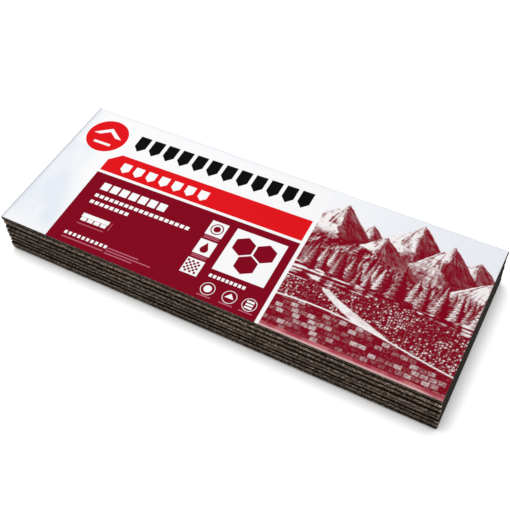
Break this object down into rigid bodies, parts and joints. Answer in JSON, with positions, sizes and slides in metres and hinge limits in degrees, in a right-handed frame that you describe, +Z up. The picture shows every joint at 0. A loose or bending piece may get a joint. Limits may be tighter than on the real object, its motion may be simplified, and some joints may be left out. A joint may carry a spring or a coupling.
{
  "type": "asphalt shingle bundle",
  "caption": "Flat bundle of laminated three-ply asphalt roofing shingles in nested pairs, with a printed sheet on top.",
  "frame": {"origin": "middle of the bundle's underside", "axes": "+X along the shingles, +Y towards the back, +Z up"},
  "size_m": [1.0016, 0.386, 0.1123],
  "materials": {
    "asphalt_shingle": "mineral granules in bitumen, dark brown-grey, matt",
    "printed_label": "printed sheet, slightly glossy"
  },
  "bodies": {
    "root": {"shingle_01": "asphalt_shingle", "shingle_02": "asphalt_shingle", "shingle_03": "asphalt_shingle", "shingle_04": "asphalt_shingle", "shingle_05": "asphalt_shingle", "shingle_06": "asphalt_shingle", "shingle_07": "asphalt_shingle", "shingle_08": "asphalt_shingle", "shingle_09": "asphalt_shingle", "shingle_10": "asphalt_shingle", "shingle_11": "asphalt_shingle", "shingle_12": "asphalt_shingle", "shingle_13": "asphalt_shingle", "shingle_14": "asphalt_shingle", "shingle_15": "asphalt_shingle", "shingle_16": "asphalt_shingle", "label_sheet": "printed_label"}
  },
  "joints": []
}
